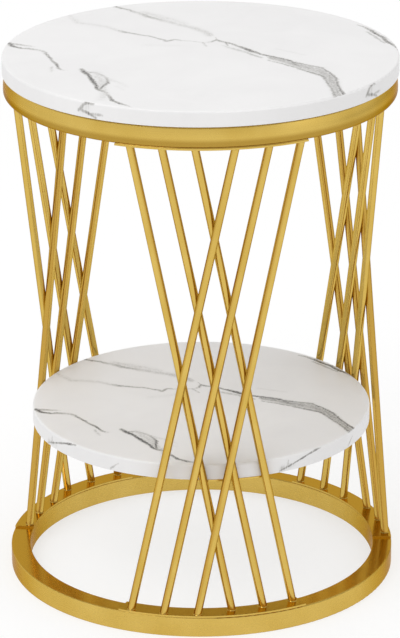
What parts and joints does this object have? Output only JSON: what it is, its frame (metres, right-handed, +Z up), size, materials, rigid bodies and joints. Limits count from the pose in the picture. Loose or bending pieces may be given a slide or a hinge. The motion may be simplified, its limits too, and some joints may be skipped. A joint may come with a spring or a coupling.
{
  "type": "tiered side table",
  "caption": "Round side table: marble-look top on a gold ring, crossed slim bars in panels, a smaller round lower shelf and a ring base.",
  "frame": {"origin": "centre of the base ring at floor level, on the axis of the round top", "axes": "+Z up along the table axis; -Y through the middle of the front bar panel; angles turn from -Y towards +X"},
  "size_m": [0.3999, 0.4, 0.552],
  "materials": {
    "gold_steel": "satin gold lacquer on steel",
    "marble_print_foil": "semi-gloss white marble print with grey veins",
    "fibreboard": "raw medium-density fibreboard",
    "backing_sheet": "matt white melamine paper",
    "screw_steel": "zinc plated"
  },
  "bodies": {
    "root": {"base_ring": "gold_steel", "board_lug_1": "gold_steel", "board_lug_2": "gold_steel", "board_lug_3": "gold_steel", "board_lug_4": "gold_steel", "front_base_strip": "gold_steel", "front_inner_rod_1": "gold_steel", "front_inner_rod_2": "gold_steel", "front_inner_rod_3": "gold_steel", "front_outer_rod_1": "gold_steel", "front_outer_rod_2": "gold_steel", "front_outer_rod_3": "gold_steel", "front_shelf_rest": "gold_steel", "front_top_strip": "gold_steel", "left_base_strip": "gold_steel", "left_inner_rod_1": "gold_steel", "left_inner_rod_2": "gold_steel", "left_inner_rod_3": "gold_steel", "left_outer_rod_1": "gold_steel", "left_outer_rod_2": "gold_steel", "left_outer_rod_3": "gold_steel", "left_shelf_rest": "gold_steel", "left_top_strip": "gold_steel", "right_base_strip": "gold_steel", "right_inner_rod_1": "gold_steel", "right_inner_rod_2": "gold_steel", "right_inner_rod_3": "gold_steel", "right_outer_rod_1": "gold_steel", "right_outer_rod_2": "gold_steel", "right_outer_rod_3": "gold_steel", "right_shelf_rest": "gold_steel", "right_top_strip": "gold_steel", "shelf_backer": "backing_sheet", "shelf_core": "fibreboard", "shelf_screws": "screw_steel", "shelf_skin": "marble_print_foil", "top_backer": "backing_sheet", "top_core": "fibreboard", "top_ring": "gold_steel", "top_screws": "screw_steel", "top_skin": "marble_print_foil"}
  },
  "joints": []
}
